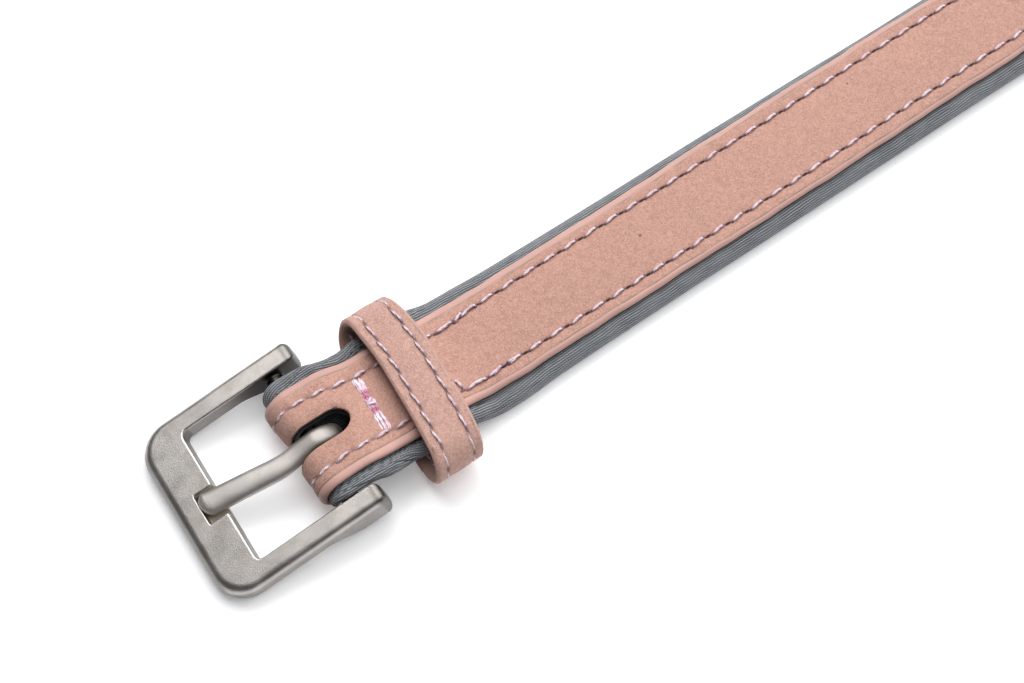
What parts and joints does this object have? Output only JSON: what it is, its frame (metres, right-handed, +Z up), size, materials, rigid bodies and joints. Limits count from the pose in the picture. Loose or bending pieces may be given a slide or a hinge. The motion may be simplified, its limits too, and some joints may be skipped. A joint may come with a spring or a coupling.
{
  "type": "padded leather dog collar with a prong buckle",
  "caption": "Padded nubuck leather dog collar lying open, with a matte metal prong buckle, a leather keeper loop and a plain holed tail.",
  "frame": {"origin": "middle of the footprint of the whole collar, on the surface it lies on", "axes": "+X along the strap from the buckle to the tail, +Y across the strap, +Z up from the surface"},
  "size_m": [0.4296, 0.0342, 0.0105],
  "materials": {
    "frame_metal": "sandblasted matte nickel, warm grey, with faint brown mottling and brighter worn edges",
    "prong_metal": "matte nickel, smoother than the frame on its crown",
    "strap_leather": "pinkish tan nubuck with smooth turned edges and pink stitching",
    "lining_fabric": "blue-grey fine ribbed knit over soft padding",
    "keeper_leather": "pinkish tan nubuck with rounded edges and two stitch rows"
  },
  "bodies": {
    "strap": {"fold_leather": "strap_leather", "strap_leather": "strap_leather", "strap_padding": "lining_fabric", "keeper_loop": "keeper_leather"},
    "frame": {"buckle_frame": "frame_metal"},
    "prong": {"prong": "prong_metal"}
  },
  "joints": [
    {"name": "frame_hinge", "type": "hinge", "parent": "strap", "child": "frame", "pos_m": [-0.19022, 0.00039, 0.00441], "axis": [0.0297, 0.9996, 0], "range_deg": [-45, 45]},
    {"name": "prong_hinge", "type": "hinge", "parent": "frame", "child": "prong", "pos_m": [-0.19022, 0.00039, 0.00441], "axis": [0.0297, 0.9996, 0], "range_deg": [0, 65]}
  ]
}
